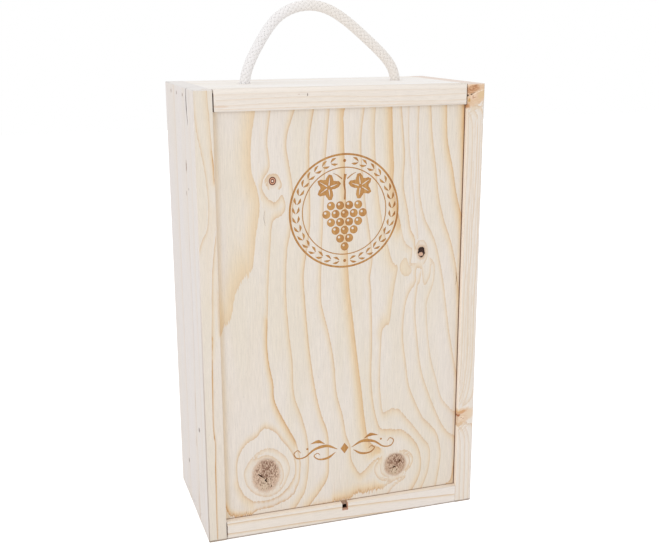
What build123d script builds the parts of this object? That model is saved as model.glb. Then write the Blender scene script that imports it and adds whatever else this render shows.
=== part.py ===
from build123d import *
import math
import os

# A softwood gift box for two bottles: a lid that slides up in grooves, and a rope handle over the top.
# Millimetres. The origin is the bottom centre of the box, +X right, +Y to the back, +Z up.

# Outside of the box, without the rope
box_width = 223.0
box_depth = 117.0
box_height = 345.0

# Boards
side_thickness = 14.0
end_thickness = 15.0
back_thickness = 6.0
outer_ease = 1.0
seam_ease = 0.3
bottom_ease = 0.8

# Sliding lid, its grooves and its head strip
front_lip = 4.5
lid_thickness = 6.5
lid_play = 0.25
lid_edge_play = 0.5
side_groove_depth = 6.0
bottom_groove_depth = 3.5
lid_lead = 0.6
strip_height = 15.5
strip_end_gap = 0.8
strip_ease = 1.6

# Notch in the front lip, where a fingernail or a coin pushes the lid up
notch_width = 5.0
notch_depth = 6.0
notch_reach = 8.5

# Fixed back in its grooves
back_lip = 5.0
back_play = 0.2
back_groove_depth = 5.0
back_edge_play = 0.4

# Wire brads with a T head and a chisel point, which hold the top and bottom boards between the sides
brad_thickness = 1.05
brad_width = 1.25
brad_length = 32.0
brad_head_width = 2.0
brad_head_height = 0.9
brad_point = 2.0
brad_tip_width = 0.4
brad_sink = 0.4
brad_play = 0.05
brads_per_joint = 3
brad_pitch = 25.0
top_brad_inset = 5.5
bottom_brad_inset = 7.0

# Rope handle: (x, height over the box) from the left hole to the right, as it stands in use
rope_diameter = 8.0
rope_hole_diameter = 10.0
rope_hole_ease = 0.8
rope_left_x = -60.0
rope_right_x = 65.0
rope_arch = [
    (-54.0, 18.5),
    (-38.5, 43.5),
    (-26.5, 53.5),
    (-11.5, 58.0),
    (4.0, 56.8),
    (19.5, 49.0),
    (41.0, 31.5),
    (60.0, 14.0),
]
rope_left_straight = 1.0
rope_arc_share = 0.45

# Stopper knots under the top board
knot_diameter = 21.0
knot_height = 18.0
knot_taper = 5.0
knot_shoulder = 6.0
rope_tail = 14.0
tail_ease = 1.0

# How far a cut runs past the face where it opens, and how near a plane an edge in it lies
overcut = 1.0
same_place = 0.001

# Places that several pieces share
inner_x = box_width / 2 - side_thickness
front_y = -box_depth / 2
rear_y = box_depth / 2
groove_front_y = front_y + front_lip
groove_back_y = groove_front_y + lid_thickness + 2 * lid_play
lid_front_y = groove_front_y + lid_play
lid_back_y = lid_front_y + lid_thickness
back_groove_rear_y = rear_y - back_lip
back_groove_front_y = back_groove_rear_y - back_thickness - 2 * back_play
lid_floor_z = end_thickness - bottom_groove_depth
back_floor_z = end_thickness - back_groove_depth
top_board_z = box_height - end_thickness
back_ceiling_z = top_board_z + back_groove_depth
top_board_mid_y = (groove_back_y + rear_y) / 2


def block(x, y, z):
    """A board between two values along each axis."""
    size = [high - low for low, high in (x, y, z)]
    middle = [(high + low) / 2 for low, high in (x, y, z)]
    return Pos(*middle) * Box(*size)


def edges_on(board, plane_axis, value):
    """The edges of a board that lie wholly in the plane where plane_axis has this value."""
    axis = {"x": Axis.X, "y": Axis.Y, "z": Axis.Z}[plane_axis]
    return board.edges().filter_by_position(axis, value - same_place, value + same_place)


def brad_rows(mid_y, z):
    """Middle of each brad's head on the right side face, for one end of one board."""
    first_y = mid_y - (brads_per_joint - 1) / 2 * brad_pitch
    return [(box_width / 2 - brad_sink, first_y + i * brad_pitch, z) for i in range(brads_per_joint)]


def brad(play=0.0, above_head=0.0):
    """One brad with its head's top at the origin and its point along -X, or the hole that it leaves."""
    head = brad_head_width / 2 + play
    shank = brad_width / 2 + play
    upper = [
        (above_head, head),
        (-brad_head_height, head),
        (-brad_head_height, shank),
        (brad_point - brad_length, shank),
        (-brad_length, brad_tip_width / 2 + play),
    ]
    lower = [(x, -z) for x, z in reversed(upper)]
    outline = make_face(Polyline(*upper, *lower, close=True))
    return extrude(Plane.XZ * outline, brad_thickness / 2 + play, both=True)


def brads_at(places, **hole):
    return [Pos(*place) * brad(**hole) for place in places]


def brad_holes(places):
    """The driven holes, open to the face of the board above the sunk heads."""
    return brads_at(places, play=brad_play, above_head=2 * brad_sink)


top_brads = brad_rows(top_board_mid_y, box_height - top_brad_inset)
bottom_brads = brad_rows(0, bottom_brad_inset)


def mirrored(shape):
    return mirror(shape, about=Plane.YZ)


# Side boards, made on the right and mirrored to the left
def side_board():
    board = block((inner_x, box_width / 2), (front_y, rear_y), (0, box_height))
    board = fillet(edges_on(board, "x", box_width / 2), outer_ease)
    board = fillet(edges_on(board, "x", inner_x) & edges_on(board, "y", front_y), seam_ease)
    groove_x = (inner_x - overcut, inner_x + side_groove_depth)
    board -= block(groove_x, (groove_front_y, groove_back_y), (lid_floor_z, box_height + overcut))
    back_groove_x = (inner_x - overcut, inner_x + back_groove_depth)
    board -= block(back_groove_x, (back_groove_front_y, back_groove_rear_y), (back_floor_z, back_ceiling_z))
    for hole in brad_holes(top_brads + bottom_brads):
        board -= hole
    return board


# Bottom board with the front lip, the lid's groove, the back's groove and the notch
def bottom():
    board = block((-inner_x, inner_x), (front_y, rear_y), (0, end_thickness))
    board = fillet(edges_on(board, "y", front_y), bottom_ease)
    board = fillet(edges_on(board, "y", rear_y) & edges_on(board, "z", 0), outer_ease)
    across = (-inner_x - overcut, inner_x + overcut)
    above = end_thickness + overcut
    board -= block(across, (groove_front_y, groove_back_y), (lid_floor_z, above))
    board -= block(across, (back_groove_front_y, back_groove_rear_y), (back_floor_z, above))
    notch_x = (-notch_width / 2, notch_width / 2)
    notch_y = (front_y - overcut, front_y + notch_reach)
    board -= block(notch_x, notch_y, (end_thickness - notch_depth, above))
    for hole in brad_holes(bottom_brads):
        board -= hole
        board -= mirrored(hole)
    return board


# Top board with the back's groove and the two rope holes
def top():
    board = block((-inner_x, inner_x), (groove_back_y, rear_y), (top_board_z, box_height))
    board = fillet(edges_on(board, "y", rear_y) & edges_on(board, "z", box_height), outer_ease)
    across = (-inner_x - overcut, inner_x + overcut)
    below = top_board_z - overcut
    board -= block(across, (back_groove_front_y, back_groove_rear_y), (below, back_ceiling_z))
    drill = Cylinder(rope_hole_diameter / 2, end_thickness + 2 * overcut)
    for x in (rope_left_x, rope_right_x):
        board -= Pos(x, top_board_mid_y, top_board_z + end_thickness / 2) * drill
    rims = edges_on(board, "z", box_height).filter_by(GeomType.CIRCLE)
    board = chamfer(rims, rope_hole_ease)
    for hole in brad_holes(top_brads):
        board -= hole
        board -= mirrored(hole)
    return board


# Fixed back, held in the grooves all round
def back():
    reach = inner_x + back_groove_depth - back_edge_play
    y = (back_groove_front_y + back_play, back_groove_rear_y - back_play)
    return block((-reach, reach), y, (back_floor_z, back_ceiling_z - back_edge_play))


# Sliding lid, with its lower edges eased so that it finds the groove
def lid():
    reach = inner_x + side_groove_depth - lid_edge_play
    board = block((-reach, reach), (lid_front_y, lid_back_y), (lid_floor_z, box_height))
    lower = edges_on(board, "z", lid_floor_z)
    return chamfer(lower.filter_by(Axis.X), lid_lead)


# Head strip on the lid, flush with the front of the sides
def head_strip():
    reach = inner_x - strip_end_gap
    strip = block((-reach, reach), (front_y, lid_front_y), (box_height - strip_height, box_height))
    return fillet(edges_on(strip, "y", front_y), strip_ease)


# Rope handle, from the left knot up through the board, over in an arch and down to the right knot
def rope_route():
    left = [(rope_left_x, -end_thickness), (rope_left_x, rope_left_straight)]
    right = [(rope_right_x, 0.0), (rope_right_x, -end_thickness)]
    return [Vector(x, top_board_mid_y, box_height + h) for x, h in left + rope_arch + right]


def arc_radii(points):
    """The largest arc that each corner's two runs allow."""
    radii = []
    for before, corner, after in zip(points, points[1:], points[2:]):
        run_in = corner - before
        run_out = after - corner
        turn = math.radians(run_in.get_angle(run_out))
        radii.append(rope_arc_share * min(run_in.length, run_out.length) / math.tan(turn / 2))
    return radii


def rope():
    points = rope_route()
    radii = arc_radii(points)
    path = FilletPolyline(*points, radius=radii)
    start = Plane(origin=points[0], z_dir=points[1] - points[0])
    tube = sweep(start * Circle(rope_diameter / 2), path=path)
    section = math.pi * rope_diameter**2 / 4
    print("rope length", round(path.length, 1), "radii", [round(r, 1) for r in radii])
    print("rope volume over section times length", round(tube.volume / (section * path.length), 4))
    return tube


# A stopper knot with its tail, turned about the hole's axis, bearing on the board's underside
def knot(x):
    half = rope_diameter / 2
    end = -knot_height - rope_tail
    outline = Polyline(
        (0, 0),
        (knot_shoulder, 0),
        (knot_diameter / 2, -knot_taper),
        (knot_diameter / 2, knot_taper - knot_height),
        (half, -knot_height),
        (half, end + tail_ease),
        (half - tail_ease, end),
        (0, end),
        close=True,
    )
    return Pos(x, top_board_mid_y, top_board_z) * revolve(Plane.XZ * make_face(outline), Axis.Z)


right_side = side_board()
pieces = {
    "side_panel_left": mirrored(right_side),
    "side_panel_right": right_side,
    "top_board": top(),
    "bottom_board": bottom(),
    "back_panel": back(),
    "lid_panel": lid(),
    "lid_head_strip": head_strip(),
    "rope_handle": rope(),
    "rope_knot_left": knot(rope_left_x),
    "rope_knot_right": knot(rope_right_x),
    "top_brads_right": Compound(children=brads_at(top_brads)),
    "bottom_brads_right": Compound(children=brads_at(bottom_brads)),
}
pieces["top_brads_left"] = mirrored(pieces["top_brads_right"])
pieces["bottom_brads_left"] = mirrored(pieces["bottom_brads_right"])

os.makedirs("parts", exist_ok=True)
for name, shape in pieces.items():
    export_step(shape, f"parts/{name}.step")
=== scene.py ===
import math

import bmesh
import bpy
import numpy as np
from mathutils import Matrix, Vector


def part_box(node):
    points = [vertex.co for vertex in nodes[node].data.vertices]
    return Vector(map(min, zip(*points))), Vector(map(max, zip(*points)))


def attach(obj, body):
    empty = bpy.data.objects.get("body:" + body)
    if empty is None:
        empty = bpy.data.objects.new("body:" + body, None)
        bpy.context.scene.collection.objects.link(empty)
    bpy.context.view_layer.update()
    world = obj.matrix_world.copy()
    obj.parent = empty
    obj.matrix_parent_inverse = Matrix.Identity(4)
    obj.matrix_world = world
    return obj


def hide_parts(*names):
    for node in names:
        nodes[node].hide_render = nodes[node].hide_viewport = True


# A pale softwood gift box for two bottles: a sliding lid with knots and a burned ornament, and a braided
# rope. Everything is in metres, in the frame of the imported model: +X right, +Y to the back, +Z up. Places
# that are read off the box are written in millimetres.
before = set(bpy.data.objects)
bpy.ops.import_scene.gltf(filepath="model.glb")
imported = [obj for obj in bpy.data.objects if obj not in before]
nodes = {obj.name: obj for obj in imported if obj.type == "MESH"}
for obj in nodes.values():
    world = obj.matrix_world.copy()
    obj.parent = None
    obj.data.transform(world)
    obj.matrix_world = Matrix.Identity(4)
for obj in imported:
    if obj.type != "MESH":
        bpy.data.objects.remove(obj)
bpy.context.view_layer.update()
MM = 0.001
same_point = 0.001 * MM


def paint(red, green, blue):
    """A colour as a painter reads it, 0 to 255 in each channel, made linear for the shaders."""
    channels = [c / 255 for c in (red, green, blue)]
    return tuple(c / 12.92 if c <= 0.04045 else ((c + 0.055) / 1.055) ** 2.4 for c in channels) + (1.0,)


# Node trees
class Sheet:
    """Writes a node tree from left to right: each call adds a node and returns the socket that it gives."""

    def __init__(self, tree):
        self.tree = tree

    def fill(self, node, inputs):
        """Set a node's inputs, by name or in order, to values or to what other nodes give."""
        for key, value in inputs.items() if isinstance(inputs, dict) else enumerate(inputs):
            if isinstance(value, bpy.types.NodeSocket):
                self.tree.links.new(value, node.inputs[key])
            elif value is not None:
                node.inputs[key].default_value = value

    def add(self, kind, inputs=(), out=0, **settings):
        node = self.tree.nodes.new(kind)
        for name, value in settings.items():
            setattr(node, name, value)
        self.fill(node, inputs)
        return node.outputs[out]

    def calc(self, operation, *values, clamp=False):
        return self.add("ShaderNodeMath", values, operation=operation, use_clamp=clamp)

    def times(self, first, *others, clamp=False):
        for other in others:
            first = self.calc("MULTIPLY", first, other, clamp=clamp)
        return first

    def times_plus(self, first, factor, added):
        return self.calc("MULTIPLY_ADD", first, factor, added)

    def less(self, first, taken):
        return self.calc("SUBTRACT", first, taken)

    def vector(self, operation, *values, out=0):
        return self.add("ShaderNodeVectorMath", values, out, operation=operation)

    def scaled(self, vector, factor):
        return self.add("ShaderNodeVectorMath", {0: vector, "Scale": factor}, operation="SCALE")

    def split(self, value):
        first = self.add("ShaderNodeSeparateXYZ", [value])
        return [first.node.outputs[i] for i in range(3)]

    def join(self, x, y, z):
        return self.add("ShaderNodeCombineXYZ", [x, y, z])

    def place(self):
        """The point's own place on the object."""
        return self.add("ShaderNodeTexCoord", out=3)

    def laid(self, name, out):
        """What a mesh carries on its points: out is 1 for a vector and 2 for a number."""
        return self.add("ShaderNodeAttribute", out=out, attribute_name=name)

    def step(self, value, low, high, to_low=0.0, to_high=1.0):
        """A smooth step from to_low to to_high while value goes from low to high."""
        settings = {"interpolation_type": "SMOOTHSTEP"}
        return self.add("ShaderNodeMapRange", [value, low, high, to_low, to_high], **settings)

    def edge(self, value, low, high, to_low=0.0, to_high=1.0):
        """A smooth step between two places in millimetres."""
        return self.step(value, low * MM, high * MM, to_low, to_high)

    def mix(self, amount, under, over, how="MIX"):
        inputs = {0: amount, 6: under, 7: over}
        return self.add("ShaderNodeMix", inputs, 2, data_type="RGBA", blend_type=how)

    def mix_value(self, amount, first, second):
        return self.add("ShaderNodeMix", {0: amount, 2: first, 3: second}, 0, data_type="FLOAT")

    def tint(self, colour, where, tone):
        """The colour with a painter's tone over it."""
        return self.mix(where, colour, paint(*tone))

    def darken(self, colour, share):
        return self.mix(1.0, colour, self.join(share, share, share), "MULTIPLY")

    def noise(self, where, size, detail=2.0, rough=0.5):
        """Noise whose features are about size metres across."""
        inputs = {"Vector": where, "Scale": 1 / size, "Detail": detail, "Roughness": rough}
        return self.add("ShaderNodeTexNoise", inputs)

    def sway(self, where, size, detail=2.0, rough=0.5):
        """Noise about zero."""
        return self.less(self.noise(where, size, detail, rough), 0.5)

    def along(self, where, share):
        """Coordinates in which a pattern is drawn out along z, the way of the fibres."""
        return self.stretched(where, (1.0, 1.0, share))

    def stretched(self, where, shares):
        return self.add("ShaderNodeMapping", {"Vector": where, "Scale": shares})

    def bump(self, height, strength, depth):
        return self.add("ShaderNodeBump", {"Strength": strength, "Distance": depth * MM, "Height": height})

    def ramp(self, value, stops):
        ramp = self.add("ShaderNodeValToRGB", [value])
        elements = ramp.node.color_ramp.elements
        while len(elements) < len(stops):
            elements.new(0.5)
        for element, (position, colour) in zip(elements, stops):
            element.position = position
            element.color = colour if isinstance(colour, tuple) else (colour, colour, colour, 1.0)
        return ramp


def new_material(name):
    material = bpy.data.materials.new(name)
    material.use_nodes = True
    tree = material.node_tree
    return material, Sheet(tree), tree.nodes["Principled BSDF"]


# Things in the scene
def in_scene(name, data):
    thing = bpy.data.objects.new(name, data)
    bpy.context.scene.collection.objects.link(thing)
    return thing


def new_mesh(name, points, faces=()):
    mesh = bpy.data.meshes.new(name)
    mesh.from_pydata(points, [], faces)
    return mesh


def set_material(data, material):
    data.materials.clear()
    data.materials.append(material)


# The softwood's finish
front_wood = (paint(229, 220, 211), paint(227, 217, 203))
right_wood = (paint(231, 222, 213), paint(229, 219, 207))
# The bottom lip's front is paler, as painted light that makes up for the shade near the floor
lit_lip_wood = (paint(235, 227, 220), paint(234, 225, 215))
side_wood = (paint(231, 224, 221), paint(231, 223, 217))
# The top board is paler, as painted light from above
lit_top_wood = (paint(241, 238, 236), paint(240, 235, 229))
strip_wood = (paint(234, 225, 216), paint(233, 223, 212))
late_halo = (229, 209, 178)
late_honey = (222, 189, 147)
late_brown = (192, 142, 92)
fibre_size = 0.45 * MM

# How a board's fibres run, as the turn that brings its finish there
along_z = (0.0, 0.0, 0.0)
along_x = (0.0, math.radians(90), 0.0)

# Where a face's own marks start and where they are full, in millimetres along the axis that it looks down
front_from, left_from, top_from = (-57.2, -57.8), (-110.8, -111.3), (344.2, 344.8)

# Growth lines, in millimetres: how far the sharp edge of a year reaches, how broad its dark end is, and how
# softly a line ends. The pull is how much less a distance along the fibres counts than one across them.
edge_reach = 1.6
core_breadth = 0.45
end_fade = 2.5
fibre_pull = 0.35
end_breadth = 2.7
plain_fray = 0.08


def wood_colour(s, fibres, late, core, early):
    """Colour of planed softwood from how late in the year it grew, 0 to 1, and from the year's dark end."""
    clouds = s.noise(s.along(fibres, 0.2), 26 * MM)
    streaks = s.sway(s.along(fibres, 0.02), 1.1 * MM, 3.0, 0.6)
    fine = s.noise(s.along(fibres, 0.05), fibre_size, 2.0, 0.6)
    pores = s.noise(s.along(fibres, 0.12), 0.34 * MM, 1.0)
    colour = s.mix(s.step(clouds, 0.35, 0.65), *early)
    late = s.calc("ADD", late, s.times(streaks, 0.2), clamp=True)
    colour = s.tint(colour, s.ramp(late, [(0.0, 0.0), (0.45, 0.65), (1.0, 1.0)]), late_halo)
    colour = s.tint(colour, s.step(late, 0.45, 1.1, 0.0, 0.8), late_honey)
    colour = s.tint(colour, core, late_brown)
    shade = s.times_plus(s.less(fine, 0.5), 0.3, 1.0)
    shade = s.times(shade, s.step(pores, 0.24, 0.36, 0.86, 1.0))
    return s.darken(colour, shade), fine


def finish_wood(s, shader, colour, height):
    relief = s.bump(height, 0.25, 0.06)
    s.fill(shader, {"Base Color": colour, "Normal": relief, "Roughness": 0.62, "Specular IOR Level": 0.3})


def laid_grain(s, fibres):
    """From the growth lines laid on a board: how late the wood grew, and the dark end of each year."""
    cosine, sine, present = s.split(s.laid("ring_edge", 1))
    near, far, torn = s.split(s.laid("ring_tone", 1))
    end = s.laid("ring_end", 2)
    feather = s.sway(s.along(fibres, 0.03), 0.6 * MM, 3.0, 0.6)
    angle = s.times_plus(feather, s.times_plus(torn, 13.0, 0.5), s.calc("ARCTAN2", sine, cosine))
    out = s.times(s.calc("ABSOLUTE", angle), 1 / math.pi)
    cut_back = s.times(present, s.less(1.0, s.times(out, out)))
    sharp_side = s.times(far, s.less(1.0, cut_back))
    on_late_side = s.step(angle, -0.65, -0.2)
    late = s.mix_value(on_late_side, sharp_side, s.calc("MAXIMUM", near, far))
    dark = s.calc("EXPONENT", s.times(out, -edge_reach / core_breadth))
    dark = s.times(dark, s.times(end, 0.95))
    return late, s.times(dark, on_late_side, clamp=True)


def board_finish(name, pith, ring, turn, darkness, early=side_wood, front=front_wood, more=None):
    """Wood of a sawn board: rings round a pith that runs along the fibres, and lines laid on its front."""
    wander = 1.6 * MM
    material, s, shader = new_material(name)
    place = s.place()
    fibres = s.add("ShaderNodeMapping", {"Vector": place, "Rotation": turn})
    x, y = s.split(fibres)[:2]
    wave = s.sway(s.along(fibres, 0.12), 42 * MM)
    feather = s.sway(s.along(fibres, 0.03), 0.8 * MM)
    from_pith = s.vector("LENGTH", s.join(s.less(x, pith[0]), s.less(y, pith[1]), 0.0), out=1)
    radius = s.times_plus(wave, 2 * wander, from_pith)
    radius = s.times_plus(feather, 0.7 * MM, radius)
    years = s.calc("DIVIDE", radius, ring)
    uneven = s.sway(s.join(years, 0.0, 0.0), 1.7, 0.0)
    years = s.calc("FRACT", s.times_plus(uneven, 1.2, years))
    faded = s.times(s.step(s.noise(s.along(fibres, 0.1), 30 * MM, 1.0), 0.3, 0.7, 0.35, 1.0), darkness)
    late = s.times(s.ramp(years, [(0.0, 0.5), (0.05, 0.0), (0.45, 0.06), (0.8, 0.5), (0.96, 1.0)]), faded)
    core = s.times(s.step(years, 0.82, 0.95), s.step(years, 1.0, 0.97), 0.5, faded)
    laid = s.laid("laid", 2)
    laid_late, laid_core = laid_grain(s, fibres)
    late = s.mix_value(laid, late, laid_late)
    core = s.mix_value(laid, core, laid_core)
    early = [s.mix(laid, behind, before) for behind, before in zip(early, front)]
    colour, fine = wood_colour(s, fibres, late, core, early)
    if more:
        colour = more(s, place, colour)
    finish_wood(s, shader, colour, fine)
    return material


def reach_from(s, across, up, place, half):
    """Distance from the middle of a mark or a knot, 1 at its rim."""
    along = s.calc("DIVIDE", s.less(across, place[0] * MM), half[0] * MM)
    above = s.calc("DIVIDE", s.less(up, place[1] * MM), half[1] * MM)
    return s.vector("LENGTH", s.join(along, above, 0.0), out=1)


def marks(s, place, where, across, up, colour, spots, outer=1.25, inner=0.5, tear=1.3):
    """Spots of another tone on one face, stains and painted shade alike: middle and half sizes in
    millimetres, tone and strength of each.
    """
    torn = s.sway(place, 1.6 * MM, 3.0, 0.7)
    for middle, half, tone, strength in spots:
        reach = s.times_plus(torn, tear, reach_from(s, across, up, middle, half))
        colour = s.tint(colour, s.times(where, s.step(reach, outer, inner, 0.0, strength)), tone)
    return colour


def front_face(s, y):
    """1 on what lies at the very front of the box."""
    return s.edge(y, *front_from)


def end_grain(s, place, colour, tone):
    """The upper ends of the upright boards: duller, with open pores."""
    z = s.split(place)[2]
    pores = s.step(s.noise(place, 0.5 * MM), 0.32, 0.5, 0.86, 1.0)
    return s.mix(s.edge(z, *top_from, 0.0, 0.9), colour, s.darken(tone, pores))


def painted_foot_shadow(s, place, colour):
    """A painted contact shadow along the edge on which a board stands."""
    y, z = s.split(place)[1:]
    height = s.times_plus(s.sway(place, 5 * MM), 0.8 * MM, z)
    foot_shadow_tone, strength = (136, 116, 100), 0.75
    return s.tint(colour, s.times(s.edge(height, 1.6, 0.9, 0.0, strength), front_face(s, y)), foot_shadow_tone)


def left_board_marks(s, place, colour):
    """The left board: three brad heads, stains, hairlines, its front corner darkened for wear and painted
    shade, and painted shade in its drying split.
    """
    x, y, z = s.split(place)
    brad_head, hairline = (168, 150, 138), (196, 178, 164)
    stain, pale_stain = (150, 118, 100), (206, 182, 160)
    wear_and_lighting_tone, split_shade_tone = (170, 150, 134), (92, 68, 56)
    brad_rows, brad_height = (30.75, 5.75, -19.25), 339.5
    spots = [((row, brad_height), (2.2, 1.5), brad_head, 0.7) for row in brad_rows]
    spots += [
        ((-24.0, 288.0), (1.8, 5.0), stain, 0.9),
        ((-20.5, 267.5), (1.5, 2.0), stain, 0.6),
        ((-30.0, 272.0), (2.4, 1.0), stain, 0.35),
        ((-34.3, 84.0), (2.2, 2.0), (96, 62, 50), 0.9),
        ((-20.0, 68.0), (1.6, 5.0), (196, 170, 146), 0.5),
        ((19.3, 35.0), (1.8, 2.0), (112, 80, 68), 0.85),
        ((-23.0, 14.0), (1.8, 16.0), pale_stain, 0.6),
        ((-22.0, 104.0), (1.4, 9.0), pale_stain, 0.5),
        ((-24.0, 225.0), (0.5, 18.0), hairline, 0.6),
        ((-26.8, 168.0), (0.5, 44.0), hairline, 0.6),
        ((-21.4, 92.0), (0.5, 26.0), hairline, 0.6),
        ((-18.2, 20.0), (0.5, 12.0), hairline, 0.6),
    ]
    colour = marks(s, place, s.edge(x, *left_from), y, z, colour, spots)
    # Darker along the front corner's rounding: wear there, and painted shade
    corner_wear_and_shade = s.times(s.edge(x, -110.6, -110.9), s.edge(y, -57.6, -57.9), s.edge(z, 260, 90, 0.0, 0.55))
    colour = painted_foot_shadow(s, place, s.tint(colour, corner_wear_and_shade, wear_and_lighting_tone))
    colour = end_grain(s, place, colour, paint(231, 227, 224))
    # Painted shade inside the drying split
    split_shade = s.times(s.edge(x, -111.3, -111.1), s.edge(x, -98.0, -98.2), s.edge(z, 344.8, 344.6))
    split_shade = s.times(split_shade, s.times(s.edge(y, -40, -39), s.edge(y, -16, -17)))
    return s.tint(colour, split_shade, split_shade_tone)


def right_board_knots(s, place, colour):
    """The right board's front edge: two torn knots that open at the lid, a painted highlight on its lip's
    inner face and painted shade in the seam beside the lid.
    """
    lip_highlight_tone, seam_shade_tone = (255, 240, 222), (100, 44, 2)
    lid_edge, lean = 97.5 * MM, -0.25
    x, y, z = s.split(place)
    # Painted highlight on the lip's inner face, which faces the seam
    inner = s.times(s.edge(x, 97.9, 97.7), s.edge(y, -53.2, -53.6))
    colour = s.tint(colour, s.times(inner, 0.62), lip_highlight_tone)
    front = s.calc("MAXIMUM", front_face(s, y), inner)
    leaned = s.times_plus(s.less(x, lid_edge), lean, z)
    streaks = s.noise(s.stretched(place, (0.2, 0.3, 1.0)), 0.7 * MM, 3.0, 0.7)
    in_streaks = s.times(front, s.step(streaks, 0.56, 0.46))
    # The fields of both knots, the upper one's brown heart, the streaks through them, then what stands out
    for where, edges, spots in [
        (front, (1.08, 0.8, 0.5), [
            ((100.0, 335.6), (18.0, 9.0), (226, 196, 165), 0.95),
            ((97.0, 75.8), (15.0, 7.8), (228, 203, 177), 0.9),
        ]),
        (front, (1.1, 0.75, 0.6), [((101.6, 340.2), (5.6, 2.9), (214, 168, 128), 0.85)]),
        (in_streaks, (1.1, 0.7, 0.6), [
            ((100.6, 339.9), (7.2, 3.5), (176, 120, 82), 0.9),
            ((107.0, 338.8), (4.0, 2.4), (206, 160, 124), 0.5),
            ((103.0, 76.0), (9.0, 7.0), (210, 172, 134), 0.35),
            ((103.0, 333.0), (9.0, 6.0), (210, 170, 130), 0.35),
        ]),
        (front, (1.25, 0.5, 1.3), [
            ((103.0, 343.6), (9.0, 0.8), (240, 206, 172), 0.8),
            ((109.0, 333.8), (3.6, 3.4), (222, 194, 154), 0.8),
            ((102.4, 334.2), (3.2, 2.6), (232, 202, 176), 0.8),
            ((109.0, 75.6), (4.0, 4.6), (230, 210, 186), 0.6),
            ((100.6, 336.3), (1.0, 0.55), (70, 32, 18), 0.95),
            ((102.4, 336.7), (1.1, 0.3), (120, 70, 44), 0.8),
            ((103.0, 336.0), (1.6, 0.4), (246, 226, 204), 0.8),
            ((106.2, 336.6), (1.8, 0.4), (246, 228, 208), 0.85),
            ((108.8, 337.0), (1.4, 0.5), (242, 224, 204), 0.8),
            ((101.8, 334.0), (0.3, 1.6), (168, 112, 80), 0.8),
            ((103.2, 333.2), (1.5, 0.3), (168, 112, 80), 0.7),
            ((97.6, 336.2), (0.8, 0.7), (50, 26, 14), 0.9),
            ((98.7, 332.4), (1.1, 1.5), (196, 152, 84), 0.9),
            ((97.8, 328.4), (1.8, 2.0), (198, 144, 98), 0.9),
            ((98.4, 80.9), (1.6, 1.1), (226, 192, 136), 0.8),
            ((100.8, 79.6), (4.6, 1.5), (210, 158, 112), 0.85),
            ((98.2, 77.7), (1.5, 1.2), (168, 100, 60), 0.95),
            ((101.2, 74.2), (2.6, 1.5), (236, 210, 186), 0.85),
            ((100.6, 74.8), (0.7, 0.3), (150, 108, 80), 0.8),
            ((102.4, 73.6), (0.7, 0.3), (150, 108, 80), 0.8),
            ((99.6, 69.6), (3.6, 2.0), (216, 184, 148), 0.8),
        ]),
    ]:
        colour = marks(s, place, where, x, leaned, colour, spots, *edges)
    # Painted shade on the lip's inner face: deep in the seam beside the lid, and where it lies behind the
    # head strip
    behind_strip = s.times(s.edge(z, 328.6, 329.4), s.edge(y, -57.6, -56.6))
    seam_shade_mask = s.times(inner, s.calc("MAXIMUM", s.edge(y, -55.3, -54.6), behind_strip))
    colour = s.tint(colour, s.times(seam_shade_mask, 0.92), seam_shade_tone)
    return end_grain(s, place, painted_foot_shadow(s, place, colour), paint(230, 214, 203))


def strip_marks(s, place, colour):
    """The head strip: a speck, two faint stains, its upper edge paler for wear and a painted highlight, and
    painted shade on its left end in the joint.
    """
    wear_and_lighting_tone, joint_shade_tone = (246, 238, 228), (84, 44, 16)
    x, y, z = s.split(place)
    # Paler towards the rounded upper edge: wear there, and a painted highlight
    colour = s.tint(colour, s.edge(z, 341.5, 343.5, 0.0, 0.4), wear_and_lighting_tone)
    # Painted shade on the left end, where it lies in the joint's shadow
    joint_shade = s.times(s.edge(x, -96.4, -96.6), s.edge(y, -57.9, -57.3), s.edge(z, 343.2, 341.6))
    colour = s.tint(colour, s.times(joint_shade, 0.95), joint_shade_tone)
    return marks(s, place, front_face(s, y), x, z, colour, [
        ((-28.6, 340.0), (0.35, 1.1), (110, 90, 80), 0.9),
        ((-92.0, 333.2), (6.0, 1.0), (214, 180, 150), 0.35),
        ((-35.0, 340.4), (0.8, 0.5), (196, 170, 150), 0.5),
    ])


def bottom_marks(s, place, colour):
    """The bottom board: dark joints at its ends painted as the shade in open gaps, a painted highlight on the
    ledge behind its lip, and the cut of the notch with painted shadow under the lid.
    """
    ledge_highlight_tone, cut_tone, notch_shadow_tone = (248, 236, 222), (228, 188, 164), (60, 40, 32)
    x, y, z = s.split(place)
    # Dark joints at both ends, painted as the shade in open gaps
    colour = marks(s, place, front_face(s, y), x, z, colour, [
        ((-97.4, 8.0), (0.95, 8.5), (84, 56, 42), 0.95),
        ((97.45, 8.0), (0.3, 8.0), (170, 128, 96), 0.6),
    ])
    in_notch = s.times(s.edge(s.calc("ABSOLUTE", x), 2.7, 2.6), s.edge(z, 8.6, 8.8), s.edge(y, -58.4, -58.2))
    in_notch = s.times(in_notch, s.edge(z, 14.95, 14.85), s.edge(y, -49.8, -50.0))
    # A painted highlight on the ledge behind the lip
    ledge_highlight = s.times(s.edge(z, 14.8, 14.95), s.edge(y, -53.4, -53.6), 0.8)
    colour = s.tint(colour, ledge_highlight, ledge_highlight_tone)
    # The notch's cut, with painted shadow towards the back where it runs under the lid
    cut = s.tint(paint(*cut_tone), s.edge(y, -55.0, -53.4), notch_shadow_tone)
    return s.mix(in_notch, painted_foot_shadow(s, place, colour), cut)


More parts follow.
